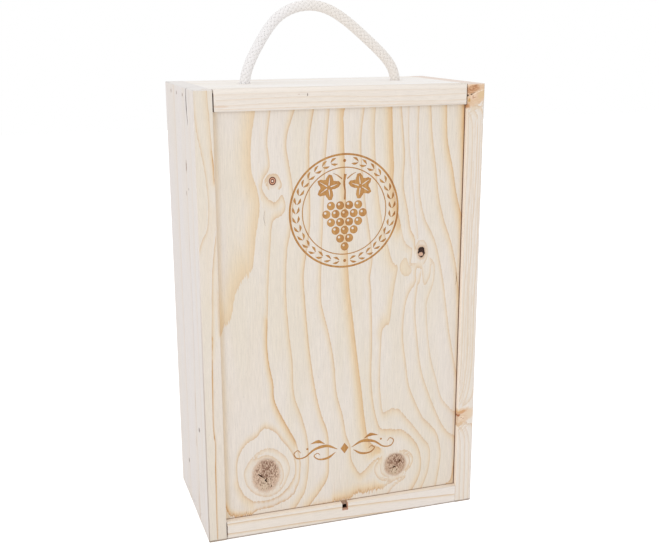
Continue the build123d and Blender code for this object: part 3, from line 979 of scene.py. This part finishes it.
lid = divided_board("lid_board", lid_low, lid_high, *lid_cell, lid_lead)
grape = [circle(0, 0, 3.2, 24), circle(-0.9, 1.0, 0.95, 12)]
laurel = [[(0.3, flip * 0.35), (2.6, flip * 1.9), (5.4, flip * 2.3)] for flip in (-1, 1)]
laurel = [stamp([stroke(leaf, [0.2, 1.0, 0.1])], engraving_depth) for leaf in laurel]
wreath = set_out(joined(laurel), wreath_places())
bunch = set_out(stamp(grape, engraving_depth), grape_places())
carve_lid([stamp(shape, engraving_depth) for shape in medallion()] + [wreath, bunch], *medallion_place)
carve_lid([stamp(shape, engraving_depth) for shape in flourish()], *flourish_place)
carve_lid([stamp([stroke(*crack)], crack_depth) for crack in lid_cracks], 0.0, 0.0)
lay_grain(lid.data, growth_lines)
set_material(lid.data, lid_finish())
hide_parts("lid_panel")
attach(lid, "lid")

# Front edges of the side boards, the head strip and the bottom board's lip: lines read off in the same way
left_lines = [
    (1.2, 0.36, [(-112, 346), (-110.9, 331.6), (-109.3, 315.8), (-107.1, 303.9), (-105.1, 292.1),
        (-103.7, 280.5), (-103.1, 270.7), (-103.1, 259), (-104.3, 246.7), (-108.2, 239),
        (-110.6, 231.8)][::-1]),
    (9.0, 0.24, [(-97.6, 260), (-97.6, 236), (-97.6, 215), (-97.6, 190)]),
    (2.8, 0.4, [(-101.5, 346), (-100.8, 334), (-100.1, 322), (-99.6, 312), (-98.9, 300), (-98, 291),
        (-97.6, 280)]),
    (1.2, 1.1, [(-99.1, 303), (-98.5, 296), (-98, 288), (-97.7, 281)]),
    (1.8, 0.5, [(-104.2, 150), (-103.1, 180), (-102.4, 200), (-101.6, 215), (-100, 230), (-98, 243)]),
    (0.55, 1.15, [(-105.1, 2), (-105, 30), (-104.8, 45), (-104.6, 60), (-104.1, 80), (-104.9, 90),
        (-105.2, 97), (-105, 115), (-104.7, 128), (-104.2, 150), (-103.6, 165)]),
    (1.0, 0.6, [(-97.6, 200), (-97.7, 182), (-97.6, 168)]),
]
right_lines = [
    (1.0, 0.42, [(101.5, 328.2), (104.5, 328.7), (107.2, 327.9), (109, 326.4), (110.3, 324), (111, 321.3)]),
    (0.6, 0.6, [(106.5, 331.4), (109, 330.9), (111.4, 331.2)]),
    (1.2, 0.3, [(99, 327.4), (102.6, 325.4), (104.4, 323.3), (105.6, 321.4), (106.4, 318.7), (106.6, 300),
        (107, 280), (106.3, 262), (105.5, 245), (104.6, 230), (104.9, 215), (104.2, 200), (104, 180),
        (104.2, 150), (104.3, 130), (103.4, 115), (101.5, 100), (98.6, 90)]),
    (1.2, 0.26, [(97.8, 325), (100.2, 321.5), (101.6, 317), (102.4, 312), (102.8, 300), (102.5, 280),
        (102, 262), (101, 245), (100.7, 230), (101, 215), (100.6, 200), (99.9, 185), (99.6, 150),
        (99.2, 120), (98, 104)]),
    (1.2, 0.26, [(97.6, 322), (98.6, 318), (98.9, 312), (99.2, 300), (99.1, 285), (98.3, 265), (98, 240),
        (98.2, 200)]),
    (1.2, 0.26, [(110.6, 312), (110.5, 290), (110.9, 272), (110.7, 262), (110, 250), (109.6, 215),
        (109.4, 195), (108.6, 180), (108.8, 160), (109.1, 140), (108.6, 120), (106.8, 102), (104.5, 92),
        (101.8, 86)]),
    (0.8, 0.18, [(104.6, 316), (104.4, 290), (104.2, 260), (103.2, 240), (102.6, 215), (102.4, 180),
        (101.8, 150), (101.8, 125), (100, 104), (98.2, 96)]),
    (0.8, 0.18, [(109.2, 318), (108.7, 290), (108.8, 262), (107.8, 240), (107.2, 215), (106.4, 180),
        (106.6, 150), (106.5, 125), (104.6, 106), (101.6, 92), (99, 87)]),
    (0.8, 0.29, [(111.2, 100), (109.2, 92), (106, 88), (102.5, 85.8)]),
    (0.6, 0.65, [(103, 71.1), (105, 70.8), (107.9, 69.6), (110, 69.4), (110.6, 67.4)]),
    (0.7, 0.6, [(97.7, 71.5), (98.2, 69.3), (99.6, 67.3)]),
    (1.2, 0.28, [(98.5, 68.5), (102, 64.8), (104, 60), (105, 52), (105.3, 30), (105.4, 1)]),
    (1.0, 0.22, [(100, 70.6), (104, 67), (106.6, 62), (108.6, 52), (109.2, 30), (109.3, 1)]),
    (1.2, 0.25, [(97.8, 66), (99.6, 61), (100.6, 54), (101.2, 40), (101.4, 1)]),
]
strip_lines = [
    (0.8, 0.17, [(-97, 337.6), (-60, 338.4), (-20, 338.8), (10, 338), (50, 337.3), (97, 338.2)]),
    (0.8, 0.17, [(-97, 333.6), (-50, 334.6), (-10, 334.8), (30, 333.8), (70, 333.2), (97, 333.6)]),
    (0.8, 0.12, [(-97, 341.6), (-40, 341.9), (20, 342.2), (97, 341.2)]),
    (0.7, 0.2, [(-97, 331.2), (0, 331.4), (97, 330.8)]),
]
bottom_lines = [
    (1.4, 0.5, [(-97, 13.2), (-40, 12.7), (0, 12.1), (20, 11.5), (40, 10.6), (60, 9.6), (80, 8.4),
        (97, 7.6)]),
    (1.1, 0.5, [(-97, 4.9), (-60, 4.4), (-30, 3.9), (0, 2.9), (30, 1.9), (60, 1.2)]),
]


def front_divided(node, cell_x, cell_z):
    """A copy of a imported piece, merged, with its flat front divided into cells."""
    work = bmesh.new()
    work.from_mesh(nodes[node].data)
    work.transform(nodes[node].matrix_world)
    bmesh.ops.remove_doubles(work, verts=work.verts, dist=same_point)
    low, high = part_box(node)

    def front():
        return [f for f in work.faces if f.normal.y < -0.999 and f.calc_center_median().y < low.y + 0.01 * MM]

    bmesh.ops.dissolve_faces(work, faces=front())
    for axis, cell in ((0, cell_x), (2, cell_z)):
        cuts = round((high[axis] - low[axis]) / cell)
        for i in range(1, cuts):
            middle, across = Vector((0, 0, 0)), Vector((0, 0, 0))
            middle[axis] = low[axis] + (high[axis] - low[axis]) * i / cuts
            across[axis] = 1
            faces = front()
            edges, points = {e for f in faces for e in f.edges}, {v for f in faces for v in f.verts}
            parts = faces + list(edges) + list(points)
            bmesh.ops.bisect_plane(work, geom=parts, dist=same_point, plane_co=middle, plane_no=across)
    mesh = bpy.data.meshes.new(node + "_board")
    work.to_mesh(mesh)
    work.free()
    return in_scene(node + "_board", mesh)


def sleeve(name, loops):
    """A closed solid through loops of equally many points, each loop down one side and up the other."""
    count = len(loops[0])
    last = (len(loops) - 1) * count
    faces = []
    for i in range(len(loops) - 1):
        for j in range(count):
            a, b = i * count + j, i * count + (j + 1) % count
            faces += [(a, a + count, b + count), (a, b + count, b)]
    for j in range(count // 2 - 1):
        for start in (0, last):
            a, b, c, d = start + j, start + j + 1, start + count - 2 - j, start + count - 1 - j
            faces += [(a, b, c), (a, c, d)]
    mesh = new_mesh(name, [point for loop in loops for point in loop], faces)
    weld(mesh)
    return mesh


# Drying split at the left board's upper front: (y, z, half width) down the outer face, then how it runs
# inwards as (x, y) steps with the share of its width and of its height that is left there
split_edge = [
    (-34.2, 346, 0.45), (-33.6, 342, 0.35), (-33, 337, 0.55), (-33.4, 330, 0.65), (-34.4, 326, 0.4),
    (-35.8, 322.5, 0.5), (-36.6, 318.5, 0.08),
]
split_run = [
    (-1, -1.8, 1, 1), (0, 0, 1, 1), (3.7, 6.2, 0.8, 0.75), (6.3, 9.6, 0.65, 0.5), (9.7, 12.8, 0.45, 0.25),
    (12.9, 15.6, 0.15, 0.08),
]


def split_solid():
    outer_x, top_z = -111.5, split_edge[0][1]
    across = Vector((0.86, -0.51, 0))
    loops = []
    for step_x, step_y, width, height in split_run:
        shaded_sides = []
        for side in (1, -1):
            for y, z, half in split_edge[::side]:
                middle = Vector((outer_x + step_x, y + step_y, top_z - (top_z - z) * height))
                shaded_sides.append((middle + across * half * width * side) * MM)
        loops.append(shaded_sides)
    return sleeve("split", loops)


# The head strip is longer at its right end than its construction: all that lies past strip_end is moved
strip_past, strip_end = 0.45 * MM, 95.0 * MM
front_skin = 0.05 * MM

# Boards with a finely divided front: node, body, slot, width and height of a cell in millimetres, growth
# lines, and whether the board lies, so that its fibres run along X
fronts = [
    ("side_panel_left", "box", "side_wood", 1.0, 2.5, left_lines, False),
    ("side_panel_right", "box", "side_wood_right", 1.0, 2.0, right_lines, False),
    ("bottom_board", "box", "bottom_wood", 2.5, 1.0, bottom_lines, True),
    ("lid_head_strip", "lid", "strip_wood", 2.5, 1.0, strip_lines, True),
]
for node, body, slot, cell_x, cell_z, lines, lying in fronts:
    board = front_divided(node, cell_x * MM, cell_z * MM)
    if node == "side_panel_left":
        carved(board, split_solid())
    if node == "lid_head_strip":
        for vertex in board.data.vertices:
            vertex.co.x += strip_past if vertex.co.x > strip_end else 0.0
    lay_grain(board.data, lines, lying, behind=front_skin)
    board.data.materials.append(finishes[node])
    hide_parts(node)
    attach(board, body)

# Rope handle: the route that the rope takes from the left hole to the right one
rope_y = 5.75 * MM
rope_route = [
    (-60.0, 330.0),
    (-60.0, 346.0),
    (-54.0, 363.5),
    (-38.5, 388.5),
    (-26.5, 398.5),
    (-11.5, 403.0),
    (4.0, 401.8),
    (19.5, 394.0),
    (41.0, 376.5),
    (60.0, 359.0),
    (65.0, 345.0),
    (65.0, 330.0),
]


def route_points(name, points, resolution=24):
    """Points along a smooth line whose control points are given, read from its NURBS spline."""
    curve = bpy.data.curves.new(name, "CURVE")
    curve.dimensions = "3D"
    curve.resolution_u = resolution
    spline = curve.splines.new("NURBS")
    spline.points.add(len(points) - 1)
    for point, place in zip(spline.points, points):
        point.co = (*place, 1.0)
    spline.order_u = 3
    spline.use_endpoint_u = True
    return evaluated(name, curve)


def braid_group():
    """Geometry nodes: strands that run round a line both ways, over one and under the next."""
    g, given, keys = new_group("braid", "Braid", [
        ("Line", "Geometry", None),
        ("Strands each way", "Int", 6),
        ("Braid radius", "Float", 3.4 * MM),
        ("Weave lift", "Float", 0.24 * MM),
        ("Lay length", "Float", 26 * MM),
        ("Strand width", "Float", 1.35 * MM),
        ("Strand thickness", "Float", 0.42 * MM),
        ("Core radius", "Float", 3.35 * MM),
        ("Step", "Float", 0.55 * MM),
        ("Yarn", "Material", None),
    ])
    line = g.add("GeometryNodeMeshToCurve", {"Mesh": given["Line"]})
    line = g.add("GeometryNodeResampleCurve", {"Curve": line, "Length": given["Step"]}, mode="LENGTH")
    normal = g.add("GeometryNodeInputNormal")
    across = g.vector("CROSS_PRODUCT", g.add("GeometryNodeInputTangent"), normal)
    travelled = g.add("GeometryNodeSplineParameter", out=1)
    turns = g.calc("DIVIDE", travelled, given["Lay length"])
    parts = []
    for way in (1.0, -1.0):
        # How far each strand has turned round the line, and whether it lies over or under the others there
        inputs = {"Geometry": line, "Amount": given["Strands each way"]}
        copies = g.add("GeometryNodeDuplicateElements", inputs, domain="SPLINE")
        share = g.calc("DIVIDE", copies.node.outputs["Duplicate Index"], given["Strands each way"])
        angle = g.times(g.times_plus(turns, way, share), 2 * math.pi)
        crossing = g.times(g.times(turns, given["Strands each way"]), 2 * math.pi)
        lift = g.times(g.calc("COSINE", crossing), g.times(given["Weave lift"], way))
        side, up = g.scaled(normal, g.calc("COSINE", angle)), g.scaled(across, g.calc("SINE", angle))
        outwards = g.vector("ADD", side, up)
        inputs = {"Geometry": copies, "Name": "outwards", "Value": outwards}
        kept = g.add("GeometryNodeStoreNamedAttribute", inputs, data_type="FLOAT_VECTOR", domain="POINT")
        offset = g.scaled(outwards, g.calc("ADD", given["Braid radius"], lift))
        strand = g.add("GeometryNodeSetPosition", {"Geometry": kept, "Offset": offset})
        named = g.add("GeometryNodeInputNamedAttribute", {"Name": "outwards"}, data_type="FLOAT_VECTOR")
        strand = g.add("GeometryNodeSetCurveNormal", {"Curve": strand, "Normal": named}, mode="FREE")
        circle = g.add("GeometryNodeCurvePrimitiveCircle", {"Resolution": 8, "Radius": 1.0}, mode="RADIUS")
        size = g.join(given["Strand thickness"], given["Strand width"], 1.0)
        profile = g.add("GeometryNodeTransform", {"Geometry": circle, "Scale": size})
        parts.append(g.add("GeometryNodeCurveToMesh", [strand, profile]))
    inputs = {"Resolution": 20, "Radius": given["Core radius"]}
    core_profile = g.add("GeometryNodeCurvePrimitiveCircle", inputs)
    parts.append(g.add("GeometryNodeCurveToMesh", {0: line, 1: core_profile, "Fill Caps": True}))
    whole = g.tree.nodes.new("GeometryNodeJoinGeometry")
    for part in parts:
        g.tree.links.new(part, whole.inputs[0])
    smooth = g.add("GeometryNodeSetShadeSmooth", {"Geometry": whole.outputs[0]})
    close_group(g, smooth, given["Yarn"])
    return g.tree, keys


def yarn_finish():
    """White cotton yarn, a little grey and yellow towards its right-hand end."""
    material, s, shader = new_material("white yarn")
    place = s.place()
    rightward = s.edge(s.split(place)[0], -45, 10)
    light = s.mix(rightward, paint(241, 239, 240), paint(237, 231, 226))
    shade = s.mix(rightward, paint(234, 231, 230), paint(232, 226, 219))
    colour = s.mix(s.noise(place, 6 * MM), light, shade)
    relief = s.bump(s.noise(place, 0.35 * MM, 2.0, 0.6), 0.35, 0.1)
    s.fill(shader, {"Base Color": colour, "Normal": relief, "Roughness": 0.55, "Sheen Weight": 0.3})
    return material


def brad_finish(name):
    """Drawn steel wire: scratched along its length, and dull with a little rust in patches."""
    rust = (122, 88, 66)
    material, s, shader = new_material(name)
    place = s.place()
    drawn = s.noise(s.stretched(place, (0.05, 1.0, 1.0)), 0.15 * MM)
    patches = s.noise(place, 1.2 * MM, 3.0, 0.6)
    colour = s.mix(drawn, paint(136, 132, 130), paint(98, 94, 92))
    colour = s.tint(colour, s.step(patches, 0.52, 0.7, 0.0, 0.6), rust)
    relief, rough = s.bump(drawn, 0.3, 0.02), s.step(patches, 0.4, 0.7, 0.32, 0.7)
    s.fill(shader, {"Base Color": colour, "Normal": relief, "Roughness": rough, "Metallic": 0.85})
    return material


for node in nodes:
    if "brads" in node:
        set_material(nodes[node].data, brad_finish(node))

yarn = yarn_finish()
braid, braid_keys = braid_group()
rope_line = route_points("rope_route", [(x * MM, rope_y, z * MM) for x, z in rope_route])
rope = grown("rope_braid", rope_line, braid, braid_keys, Yarn=yarn)
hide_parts("rope_handle")
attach(rope, "box")

# Overhand knots under the top board, which carry the box
board_underside = 330.0
left_hole, right_hole = -60.0, 65.0
knot_ring, knot_lobe, knot_shift = 5.6, 3.9, -3.0
knot_middle = board_underside - 12.4
tail_end = 298.5


def knot_points(x, way):
    """Control points of an overhand knot in millimetres, from the hole down to the end of the tail."""
    points = [(0.0, board_underside + 1, 0.0), (0.2, board_underside - 3, -0.4), (2.2, knot_middle + 5, -3.0)]
    steps, left_open = 20, 0.3
    for i in range(steps + 1):
        t = 2 * math.pi - left_open - (2 * math.pi - 2 * left_open) * i / steps
        out = knot_ring + knot_lobe * math.cos(3 * t)
        u, v = out * math.cos(2 * t) + knot_shift, out * math.sin(2 * t) + knot_middle
        points.append((u, v, knot_lobe * math.sin(3 * t)))
    points += [(5.0, knot_middle - 1, 4.0), (4.6, knot_middle - 8, 3.9)]
    points += [(3.4, tail_end + 6, 3.0), (2.6, tail_end, 2.4)]
    return [((x + way * u) * MM, rope_y + w * MM, v * MM) for u, v, w in points]


for side, x, way in (("left", left_hole, 1), ("right", right_hole, -1)):
    line = route_points("knot_line", knot_points(x, way), resolution=12)
    knot = grown("rope_knot_" + side + "_braid", line, braid, braid_keys, Yarn=yarn, Braid_radius=3.1 * MM,
                 Core_radius=3.05 * MM, Strand_width=1.25 * MM)
    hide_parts("rope_knot_" + side)
    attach(knot, "box")

# Floor, light and camera
white = (1.0, 1.0, 1.0, 1.0)
floor_reach = 3.0
floor_grey = (0.9, 0.9, 0.9, 1.0)
floor_glow = 0.5
studio_light, studio_seen = 0.84, 1.0

# Each lamp's name, place, width in metres and power in watts, and the point at which all of them aim
lamps = [
    ("key", (-2.25, -2.2, 1.2), 0.75, 13.0),
    ("fill", (-0.8, -2.4, 0.9), 1.6, 5.0),
    ("above", (0.2, 0.2, 2.3), 1.6, 6.0),
]
lit_point = Vector((0, 0, 0.2))

# The camera, matched to the box's corners in the photograph
camera_place = Vector((-233.62, -732.64, 388.55)) * MM
camera_yaw, camera_pitch, camera_roll = 0.3167, -0.254, -0.0036
focal_px, width_px = 973.96, 659


def lay_floor():
    corners = [(x * floor_reach, y * floor_reach, 0) for x, y in ((-1, -1), (1, -1), (1, 1), (-1, 1))]
    mesh = new_mesh("floor", corners, [(0, 1, 2, 3)])
    floor = in_scene("floor", mesh)
    material, s, shader = new_material("floor")
    glow = s.times(s.add("ShaderNodeLightPath"), floor_glow)
    s.fill(shader, {"Base Color": floor_grey, "Roughness": 1.0, "Specular IOR Level": 0.0})
    s.fill(shader, {"Emission Color": white, "Emission Strength": glow})
    mesh.materials.append(material)


def set_light():
    world = bpy.data.worlds.new("studio")
    bpy.context.scene.world = world
    world.use_nodes = True
    w = Sheet(world.node_tree)
    rays = w.add("ShaderNodeLightPath")
    seen = w.calc("ADD", rays, rays.node.outputs["Is Glossy Ray"], clamp=True)
    strength = w.mix_value(seen, studio_light, studio_seen)
    w.fill(world.node_tree.nodes["Background"], {"Color": white, "Strength": strength})
    for name, place, width, power in lamps:
        lamp = bpy.data.lights.new(name, "AREA")
        lamp.size = width
        lamp.energy = power
        holder = in_scene(name, lamp)
        holder.location = place
        holder.rotation_euler = (lit_point - Vector(place)).to_track_quat("-Z", "Y").to_euler()


def set_camera():
    yaw, pitch, roll = camera_yaw, camera_pitch, camera_roll
    ahead = Vector((math.sin(yaw) * math.cos(pitch), math.cos(yaw) * math.cos(pitch), math.sin(pitch)))
    level = Vector((math.cos(yaw), -math.sin(yaw), 0))
    upright = level.cross(ahead)
    right = math.cos(roll) * level + math.sin(roll) * upright
    up = math.cos(roll) * upright - math.sin(roll) * level
    data = bpy.data.cameras.new("camera")
    data.sensor_width = 36.0
    data.lens = data.sensor_width * focal_px / width_px
    data.clip_start, data.clip_end = 0.01, 20.0
    holder = in_scene("camera", data)
    turned = Matrix((right, up, -ahead)).transposed().to_4x4()
    holder.matrix_world = Matrix.Translation(camera_place) @ turned
    bpy.context.scene.camera = holder


lay_floor()
set_light()
set_camera()
bpy.context.scene.view_settings.view_transform = "Standard"
